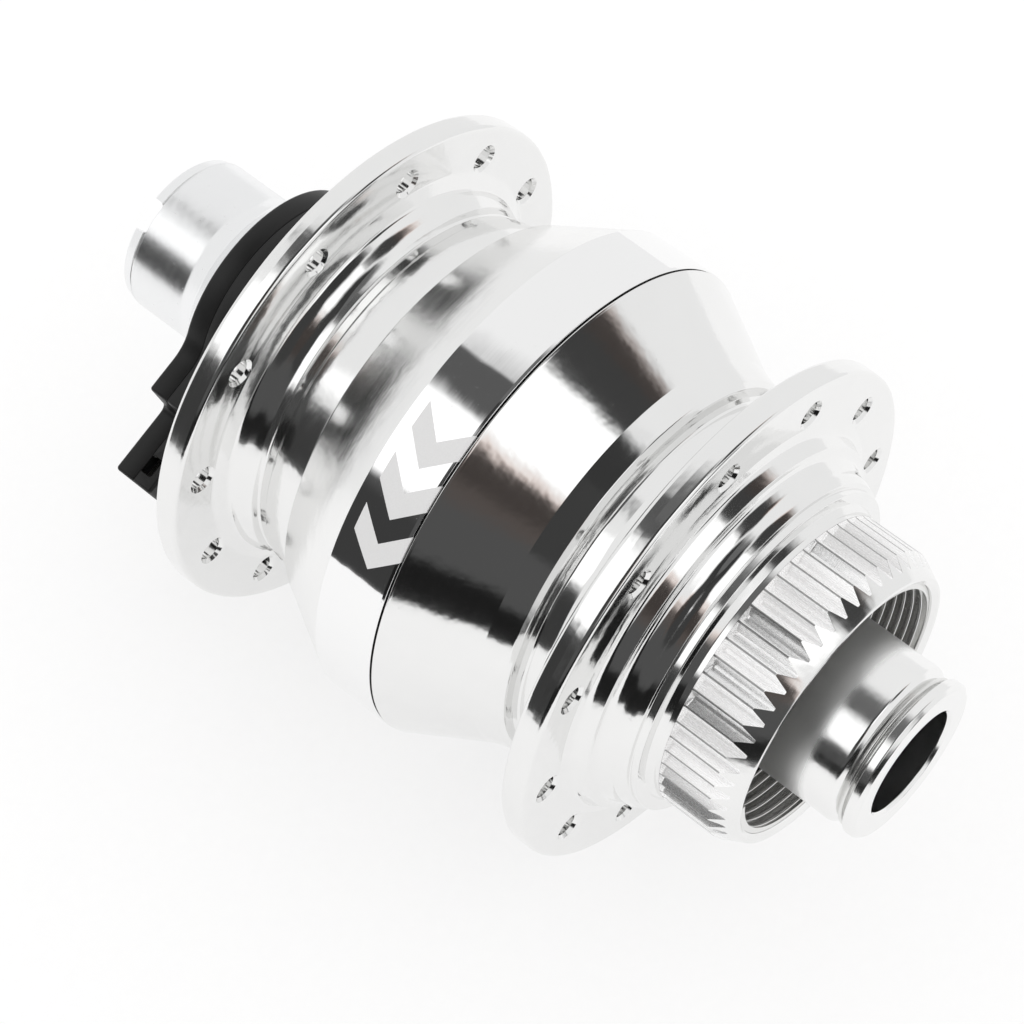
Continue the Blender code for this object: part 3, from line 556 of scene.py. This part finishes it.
def rotor_spline():
    """The splined crown for a disc rotor: each tooth ends in the cone of the front chamfer."""
    pitch = math.tau / SPLINE_TEETH
    cone_low, cone_high = FRONT - 2.7, FRONT - 0.2
    cone_top, lip, blank = SPLINE_TIP + 0.02, 16.05, 17.35
    flank = [(-0.5, SPLINE_ROOT), (-0.41, SPLINE_ROOT + 0.01), (-0.07, SPLINE_TIP - 0.04),
             (-0.04, SPLINE_TIP)]
    section = flank + [(0.0, SPLINE_TIP + 0.005)] + [(-share, radius) for share, radius in flank[:0:-1]]

    def cone_place(radius):
        return cone_low + (cone_top - radius) / (cone_top - lip) * (cone_high - cone_low)

    run_out = [(0.0, 1.0), (0.1, 0.66), (0.22, 0.3), (0.34, 0.08), (0.46, 0.0)]
    columns = []
    for tooth in range(SPLINE_TEETH):
        for offset, radius in section:
            column = []
            for ahead, share in run_out:
                column.append((SPLINE_START + ahead, radius + (blank - radius) * share))
            column.append((cone_place(radius) - 0.04, radius))
            column.append((cone_place(radius), radius))
            column.append((cone_high, lip))
            column += [(FRONT - 0.05, lip - 0.1), (FRONT, lip - 0.22), (FRONT, THREAD_MAJOR + 0.6),
                       (FRONT - 0.05, THREAD_MAJOR + 0.5), (FRONT - 0.4, THREAD_MAJOR + 0.02),
                       (THREAD_START - 0.2, THREAD_MAJOR + 0.02)]
            columns.append((SPLINE_PHASE + pitch * (tooth + offset), column))
    rows = len(columns[0][1])
    verts = [(r * math.cos(a), y, r * math.sin(a)) for a, column in columns for y, r in column]
    faces = []
    for k in range(len(columns)):
        a, b = k * rows, (k + 1) % len(columns) * rows
        faces += [(a + i, a + i + 1, b + i + 1, b + i) for i in range(rows - 1)]
    crown = mesh_object("rotor_spline", verts, faces, crease=24.0)
    paint(milled_metal(), crown)
    crown.data.materials.append(turned_metal("polished_crown", ALUMINIUM, 0.11, 0.001, 0.06))
    crown_index = 1
    for face in crown.data.polygons:
        radius = math.hypot(face.center.x, face.center.z) / MM
        on_cone = face.center.y / MM > cone_place(radius) - 0.03
        if on_cone or radius < SPLINE_ROOT - 0.05:
            face.material_index = crown_index
    return crown


def lockring_thread():
    """The M30 x 1 thread in the crown's bore, a true helix clipped at both ends."""
    low, high = THREAD_START, FRONT - 0.45
    profile = [(0.0, THREAD_MAJOR), (0.12, THREAD_MAJOR), (0.44, THREAD_MINOR + 0.04), (0.5, THREAD_MINOR),
               (0.62, THREAD_MINOR), (0.68, THREAD_MINOR + 0.04)]
    steps = 160
    turns = int((high - low) / THREAD_PITCH) + 2
    rows = turns * len(profile)
    verts, faces = [], []
    for k in range(steps + 1):
        share = k / steps
        angle = math.tau * share
        for i in range(rows):
            offset, radius = profile[i % len(profile)]
            axial = low + (i // len(profile) - 1 + offset + share) * THREAD_PITCH
            axial = min(max(axial, low), high)
            verts.append((radius * math.cos(angle), axial, radius * math.sin(angle)))
    for k in range(steps):
        a, b = k * rows, (k + 1) * rows
        faces += [(a + i, a + i + 1, b + i + 1, b + i) for i in range(rows - 1)]
    thread = mesh_object("lockring_thread", verts, faces, crease=28.0)
    paint(turned_metal("cut_thread", (0.80, 0.80, 0.79), 0.22, 0.002, 0.08), thread)
    return thread


def seam_ring():
    """The seal between the two shell halves."""
    outline = [(SEAL_HIGH, 25.9), (SEAL_HIGH, 28.2, 0.05), (SEAL_LOW, 28.2, 0.05), (SEAL_LOW, 25.9)]
    seal = turned("seam_ring", outline)
    paint(rubber("seam_rubber"), seal)
    return seal


def dust_washer():
    """The dished washer at the bottom of the lockring cavity."""
    low, high = span("disc_side_dust_seal", Y)
    washer = turned("dust_washer", [(high, 14.25, 0.1), (low, 14.25), (low, 9.7, 0.1), (low + 0.3, 9.5, 0.05),
                                    (high - 0.1, 9.7, 0.1), (high - 0.25, 11.9, 0.8)], steps=128)
    paint(moulded_plastic("washer_composite", 0.10, 0.36, (1.0, 1.0, 0.93)), washer)
    return washer


# ---------------------------------------------------------------- end caps

def disc_side_cap():
    """The disc-side end cap: plain barrel, neck groove and a thicker lip at the dropout face."""
    end = CAP_DISC_END
    lip = [(end, 8.75, 0.25), (end - 0.45, CAP_RADIUS, 0.2), (end - 1.35, CAP_RADIUS, 0.15),
           (end - 1.5, 8.85, 0.08)]
    groove = [(end - 1.6, 8.3, 0.1), (end - 2.4, 8.3, 0.3), (end - 2.75, 8.75, 0.25)]
    barrel = [(end - 3.25, CAP_RADIUS, 0.5), (CAP_DISC_IN, CAP_RADIUS)]
    inner = [(CAP_DISC_IN, 8.5), (40.5, 8.5), (40.5, 7.8), (end - 3.7, 7.8), (end - 3.7, AXLE_BORE),
             (end - 0.35, AXLE_BORE, 0.1), (end, AXLE_BORE + 0.3, 0.1)]
    cap = turned("disc_side_cap", lip + groove + barrel + inner, steps=192)
    paint(turned_metal("turned_cap", (0.90, 0.90, 0.895), 0.13, 0.0016, 0.08, dulled=(42.2, 44.2)), cap)
    return cap


def wire_ring():
    """The round wire ring that sits in the disc-side cap's groove."""
    low, high = span("disc_side_wire_ring", Y)
    section = (high - low) / 2
    middle, centre = (low + high) / 2, span("disc_side_wire_ring", X)[1] - section
    turns = [math.tau * k / 16 for k in range(16)]
    outline = [(middle + section * math.cos(turn), centre + section * math.sin(turn)) for turn in turns]
    ring = turned("wire_ring", outline, steps=192)
    paint(turned_metal("drawn_wire", (0.80, 0.80, 0.79), 0.2, 0.0016, 0.1), ring)
    return ring


def connector_side_cap():
    """The connector-side end cap: chamfered barrel with a slot across its end and a conical collar."""
    end = CAP_PLUG_END
    outline = [(CAP_PLUG_IN, CAP_RADIUS), (-37.0, CAP_RADIUS), (-37.0, 11.3, 0.1), (-37.5, 11.3, 0.2),
               (-38.9, 10.1, 1.2), (-41.0, CAP_RADIUS, 2.0), (end + 1.8, CAP_RADIUS, 0.05),
               (end + 1.72, CAP_RADIUS - 0.12, 0.04), (end + 1.58, CAP_RADIUS - 0.12, 0.04),
               (end + 1.5, CAP_RADIUS - 0.02, 0.05),
               (end + 0.3, 8.85, 0.2), (end, 8.5, 0.15)]
    outline += [(end, AXLE_BORE + 0.3, 0.1), (end + 0.35, AXLE_BORE, 0.1), (end + 3.7, AXLE_BORE),
                (end + 3.7, 7.8), (-40.5, 7.8), (-40.5, 8.5), (CAP_PLUG_IN, 8.5)]
    cap = turned("connector_side_cap", outline, steps=192)
    cut(cap, notch_tool(end), lead_slot_tool())
    paint(turned_metal("satin_cap", (0.90, 0.905, 0.91), 0.22, 0.0016, 0.08), cap)
    return cap


def prism(name, outline, origin, along, across, depth_axis, depths):
    """A closed 2-D outline swept between two depths, in directions given as vectors."""
    count = len(outline)
    verts = []
    for depth in depths:
        for a, b in outline:
            verts.append(origin + along * a + across * b + depth_axis * depth)
    faces = [tuple(range(count)), tuple(range(count, 2 * count))]
    faces += [(k, (k + 1) % count, count + (k + 1) % count, count + k) for k in range(count)]
    return mesh_object(name, verts, faces)


def notch_tool(end):
    """The slot across the dropout face, with rounded bottom corners."""
    half, depth = NOTCH_WIDTH / 2, 1.7
    outline = rounded([(-half, -2.0), (-half, depth, 0.5), (half, depth, 0.5), (half, -2.0)])
    out = Vector((math.cos(NOTCH_ANGLE), 0.0, math.sin(NOTCH_ANGLE)))
    side = Vector((-math.sin(NOTCH_ANGLE), 0.0, math.cos(NOTCH_ANGLE)))
    axle = Vector((0.0, 1.0, 0.0))
    return prism("notch_tool", outline, axle * end, side, axle, out, (-12.0, 12.0))


def lead_slot_tool():
    """The slot under the housing where the leads leave the axle."""
    high = CAP_PLUG_IN + 0.5
    outline = [(-1.6, high), (1.6, high), (1.6, HOUSING_LOW + 0.7), (-1.6, HOUSING_LOW + 0.7)]
    out, side, axle = outlet_directions()
    return prism("lead_slot_tool", outline, Vector(), side, axle, out, (7.0, 12.0))


# ---------------------------------------------------------------- connector housing

def outlet_directions():
    out = Vector((math.cos(OUTLET_ANGLE), 0.0, math.sin(OUTLET_ANGLE)))
    side = Vector((-math.sin(OUTLET_ANGLE), 0.0, math.cos(OUTLET_ANGLE)))
    return out, side, Vector((0.0, 1.0, 0.0))


def housing_outline():
    """Disc, stepped shoulder and cable outlet as one outline of (out, side) points."""
    fillet = 4.5
    low_side, high_side = SHOULDER_SIDES
    lift = HOUSING_RADIUS + fillet
    centre = Vector((math.sqrt(lift ** 2 - (high_side + fillet) ** 2), high_side + fillet))
    touch = math.atan2(centre.y, centre.x)
    lower = -math.acos(math.sqrt(HOUSING_RADIUS ** 2 - low_side ** 2) / HOUSING_RADIUS)
    start, stop = touch, math.tau + lower
    points = []
    for k in range(65):
        angle = start + (stop - start) * k / 64
        points.append((HOUSING_RADIUS * math.cos(angle), HOUSING_RADIUS * math.sin(angle)))
    points += [(SHOULDER_REACH, low_side, 0.4), (SHOULDER_REACH + 0.3, OUTLET_SIDES[0], 0.3)]
    points += [(OUTLET_REACH, OUTLET_SIDES[0], 0.5), (OUTLET_REACH, OUTLET_SIDES[1], 0.4)]
    points += [(SHOULDER_REACH + 0.3, OUTLET_SIDES[1], 1.0), (SHOULDER_REACH, high_side, 0.35)]
    for k in range(13):
        angle = -math.pi / 2 + (touch - math.pi / 2) * k / 12
        points.append((centre.x + fillet * math.cos(angle), centre.y + fillet * math.sin(angle)))
    return rounded(points)


def inset(outline, amount):
    """Move a closed outline inwards by a small amount along its own normals."""
    count = len(outline)
    result = []
    for i, here in enumerate(outline):
        along = (outline[(i + 1) % count] - outline[i - 1]).normalized()
        result.append(here + Vector((-along.y, along.x)) * amount)
    return result


def connector_housing():
    """The black housing: stacked sections with rounded edges and the mould's parting line."""
    out, side, axle = outlet_directions()
    outline = housing_outline()
    middle = (HOUSING_LOW + OUTLET_HIGH) / 2
    edge = 0.35
    sections = []
    for k in range(5):
        angle = math.pi / 2 * k / 4
        sections.append((HOUSING_LOW + edge * (1 - math.cos(angle)), edge * (1 - math.sin(angle))))
    sections += [(middle - 0.12, 0.0), (middle - 0.08, 0.02), (middle, 0.12), (middle + 0.08, 0.02),
                 (middle + 0.12, 0.0)]
    for k in range(5):
        angle = math.pi / 2 * (1 - k / 4)
        sections.append((OUTLET_HIGH - edge * (1 - math.cos(angle)), edge * (1 - math.sin(angle))))
    verts, faces = [], []
    count = len(outline)
    for axial, amount in sections:
        verts += [out * p.x + side * p.y + axle * axial for p in inset(outline, amount)]
    for row in range(len(sections) - 1):
        a, b = row * count, (row + 1) * count
        faces += [(a + k, a + (k + 1) % count, b + (k + 1) % count, b + k) for k in range(count)]
    faces += [tuple(range(count)), tuple(range((len(sections) - 1) * count, len(sections) * count))]
    housing = mesh_object("connector_housing_body", verts, faces)
    wide, narrow = CAP_RADIUS + 0.2, 0.01
    bore_outline = [(HOUSING_LOW - 1, wide), (HOUSING_LOW - 1, narrow), (OUTLET_HIGH + 1, narrow),
                    (OUTLET_HIGH + 1, wide)]
    bore = turned("bore_tool", bore_outline, steps=96)
    depth, width, height = POCKET
    tools = [bore]
    for number, place in enumerate(POCKET_SIDES):
        mouth = rounded([(place - width / 2, -height / 2, 0.4), (place + width / 2, -height / 2, 0.4),
                         (place + width / 2, height / 2, 0.4), (place - width / 2, height / 2, 0.4)])
        tools.append(prism("pocket_tool_%d" % number, mouth, axle * middle, side, axle, out,
                           (OUTLET_REACH - depth, OUTLET_REACH + 1.0)))
    window = rounded([(21.2, 0.0, 0.3), (23.4, 0.0, 0.3), (23.4, 1.5, 0.3), (21.2, 1.5, 0.3)])
    wall = OUTLET_SIDES[1]
    tools.append(prism("window_tool", window, axle * middle, out, axle, side, (wall - 2.0, wall + 1.0)))
    cut(housing, *tools)
    paint(moulded_plastic("moulded_housing", 0.007, 0.42), housing)
    return housing


def housing_neck():
    """The round part of the housing between the outlet and the bearing."""
    neck = turned("connector_housing_neck",
                  [(HOUSING_HIGH, HOUSING_RADIUS - 0.05, 0.3), (OUTLET_HIGH - 0.5, HOUSING_RADIUS - 0.05),
                   (OUTLET_HIGH - 0.5, CAP_RADIUS + 0.2), (HOUSING_HIGH, CAP_RADIUS + 0.2, 0.2)], steps=160)
    paint(moulded_plastic("moulded_neck", 0.007, 0.42), neck)
    return neck


# ---------------------------------------------------------------- carried-over CAD nodes

def paint_cad_nodes():
    """Give every CAD node that is kept the procedural finish of its material."""
    steel = turned_metal("turned_steel", (0.62, 0.62, 0.63), 0.25, 0.003, 0.1)
    ground = turned_metal("ground_steel", (0.70, 0.70, 0.71), 0.14, 0.001, 0.06)
    spacer = turned_metal("spacer_alloy", (0.84, 0.85, 0.86), 0.24, 0.003, 0.1)
    tinned = turned_metal("tinned_brass", (0.80, 0.79, 0.75), 0.28, 0.002, 0.12)
    poles = iron("pressed_iron", 0.25, 0.45)
    magnet = iron("sintered_magnet", 0.09, 0.5)
    seal = rubber("shield_rubber")
    finishes = {
        "axle": steel, "flux_ring": steel, "stator_nut": steel, "stator_circlip": steel,
        "spacer_connector_side": spacer, "spacer_disc_side": spacer,
        "terminal_a": tinned, "terminal_b": tinned,
        "claw_plate_connector_side": poles, "claw_plate_disc_side": poles, "stator_core": poles,
        "coil_bobbin": moulded_plastic("bobbin_nylon", 0.45, 0.5, (1.0, 0.94, 0.78)),
        "coil_winding": enamelled_copper(),
        "lead_a": moulded_plastic("lead_red_pvc", 0.30, 0.45, (1.0, 0.07, 0.05)),
        "lead_b": moulded_plastic("lead_black_pvc", 0.015, 0.45),
    }
    for name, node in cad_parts.items():
        if name.startswith("magnet_"):
            finishes[name] = magnet
        elif name.endswith("_shield"):
            finishes[name] = seal
        elif name.endswith(("_ring", "_cage")) and "bearing" in name or name.endswith("_ball_cage"):
            finishes[name] = ground
        if name in finishes:
            paint(finishes[name], node)


# ---------------------------------------------------------------- studio

def studio_world():
    """A white tent with two softboxes, and the dark room that shows through its openings.

    Each row: azimuth and elevation of the middle, half width, half height, soft edge (all degrees), level.
    A later row lies over the earlier ones.
    """
    cards = [
        (60.0, 82.0, 100.0, 14.0, 8.0, 0.04),     # opening overhead
        (12.0, 17.0, 47.0, 30.0, 8.0, 0.085),     # dark room beside the camera
        (22.0, 58.0, 36.0, 22.0, 6.0, 0.05),      # the same room, higher up
        (-30.0, 5.0, 14.0, 18.0, 7.0, 0.045),     # its edge on the connector side
        (24.0, -3.0, 40.0, 10.0, 6.0, 0.012),     # its floor
        (75.0, -1.0, 19.0, 12.0, 5.0, 0.01),      # gaps low on the disc-brake side
        (113.0, 6.0, 8.0, 8.0, 5.0, 0.04),
        (-70.0, 67.0, 26.0, 5.5, 5.0, 0.10),      # seam high on the connector side
        (-33.0, 45.0, 21.0, 17.0, 5.0, 1.25),     # softbox towards the connector side
        (92.0, 54.0, 27.0, 8.0, 5.0, 1.3),        # softbox on the disc-brake side
        (138.0, 44.0, 18.0, 15.0, 10.0, 0.05),    # gap beside that softbox
    ]
    tent_level, zenith_level = 0.92, 0.14
    diffuse_level, background_level = 1.12, 1.0
    warm_tint = (1.12, 0.95, 0.88, 1.0)
    warm_corners = [(50.0, 42.0, 12.0, 12.0, 8.0), (152.0, 38.0, 7.0, 8.0, 6.0)]
    world = bpy.data.worlds.new("studio")
    bpy.context.scene.world = world
    world.use_nodes = True
    graph = Graph(world.node_tree)
    background = world.node_tree.nodes["Background"]
    direction = graph.add("ShaderNodeTexCoord").outputs["Generated"]
    split = graph.add("ShaderNodeSeparateXYZ")
    graph.feed(split.inputs[0], direction)
    x, y, z = split.outputs
    azimuth = graph.math("MULTIPLY", graph.math("ARCTAN2", y, x), math.degrees(1.0))
    elevation = graph.math("MULTIPLY", graph.math("ARCSINE", z), math.degrees(1.0))
    level = graph.step(elevation, 62.0, 74.0, tent_level, zenith_level)

    def mask(card_azimuth, card_elevation, width, height, soft):
        turn = graph.math("WRAP", graph.math("SUBTRACT", azimuth, card_azimuth), 180.0, -180.0)
        across = graph.step(graph.math("ABSOLUTE", turn), width - soft / 2, width + soft / 2, 1.0, 0.0)
        lift = graph.math("ABSOLUTE", graph.math("SUBTRACT", elevation, card_elevation))
        up = graph.step(lift, height - soft / 2, height + soft / 2, 1.0, 0.0)
        return graph.math("MULTIPLY", across, up)

    for *shape, brightness in cards:
        inside = mask(*shape)
        level = graph.math("ADD", graph.math("MULTIPLY", level, graph.math("SUBTRACT", 1.0, inside)),
                           graph.math("MULTIPLY", inside, brightness))
    warm = graph.math("MAXIMUM", *(mask(*shape) for shape in warm_corners))
    tint = graph.mix_colour(warm, grey(1.0), warm_tint)
    rays = graph.add("ShaderNodeLightPath").outputs
    for seen_by, plain_level in ((rays["Is Diffuse Ray"], diffuse_level),
                                 (rays["Is Camera Ray"], background_level)):
        level = graph.math("ADD", graph.math("MULTIPLY", level, graph.math("SUBTRACT", 1.0, seen_by)),
                           graph.math("MULTIPLY", seen_by, plain_level))
    graph.feed(background.inputs["Strength"], level)
    graph.feed(background.inputs["Color"], tint)


def studio_floor():
    """A pale backlit table under the hub, which lies on its two flange rims."""
    radius, rings, steps = 220.0, (0.2, 0.5, 1.0), 96
    height = -RIM_RADIUS - 0.02
    verts, faces = [], []
    for share in rings:
        for k in range(steps):
            angle = math.tau * k / steps
            verts.append((radius * share * math.cos(angle), radius * share * math.sin(angle), height))
    faces.append(tuple(range(steps)))
    for ring in range(len(rings) - 1):
        a, b = ring * steps, (ring + 1) * steps
        faces += [(a + k, a + (k + 1) % steps, b + (k + 1) % steps, b + k) for k in range(steps)]
    floor = mesh_object("studio_floor", verts, faces)
    material, graph, shader = new_material("pale_paper")
    fibres = graph.noise(graph.combine(*graph.place_in_mm()), 0.8, detail=4.0)
    graph.feed(shader.inputs["Base Color"], graph.mix_colour(fibres, grey(0.29), grey(0.31)))
    shader.inputs["Roughness"].default_value = 0.9
    shader.inputs["Emission Color"].default_value = grey(1.0)
    shader.inputs["Emission Strength"].default_value = 0.68
    paint(material, floor)


def camera():
    """A long lens above the disc-brake side, looking down on the hub."""
    right = Vector((-0.661, 0.750, 0.0))
    up = Vector((-0.628, -0.553, 0.547))
    back = Vector((0.41, 0.362, 0.837))
    aim_right, aim_up, distance = -1.496, -3.093, 336.4
    aim = (right * aim_right + up * aim_up) * MM
    data = bpy.data.cameras.new("photo_camera")
    data.lens = 114.7
    data.sensor_width = 36.0
    data.clip_start = 0.01
    data.clip_end = 10.0
    obj = bpy.data.objects.new("photo_camera", data)
    bpy.context.scene.collection.objects.link(obj)
    back.normalize()
    right = (right - back * right.dot(back)).normalized()
    up = back.cross(right)
    turn = Matrix((right, up, back)).transposed().to_4x4()
    obj.matrix_world = Matrix.Translation(back * (distance * MM) + aim) @ turn
    bpy.context.scene.camera = obj


# ---------------------------------------------------------------- assembly

def fit(piece, body, slot, *nodes):
    """Put a piece on its CAD body in place of the CAD nodes that it stands for."""
    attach(piece, body)
    if nodes:
        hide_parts(*nodes)


def main():
    fit(disc_side_shell(), "hub_shell", "polished_alloy", "disc_side_shell")
    fit(rotor_spline(), "hub_shell", "polished_alloy")
    fit(lockring_thread(), "hub_shell", "polished_alloy")
    fit(connector_side_shell(), "hub_shell", "polished_alloy", "connector_side_shell")
    fit(seam_ring(), "hub_shell", "black_rubber", "seam_seal")
    fit(dust_washer(), "hub_shell", "black_rubber", "disc_side_dust_seal")
    fit(disc_side_cap(), "axle_assembly", "anodised_alloy", "disc_side_end_cap")
    fit(wire_ring(), "axle_assembly", "steel", "disc_side_wire_ring")
    fit(connector_side_cap(), "axle_assembly", "anodised_alloy", "connector_side_end_cap")
    fit(connector_housing(), "axle_assembly", "black_plastic", "connector_housing")
    fit(housing_neck(), "axle_assembly", "black_plastic")
    paint_cad_nodes()
    studio_world()
    studio_floor()
    camera()
    bpy.context.scene.view_settings.view_transform = "Standard"


main()
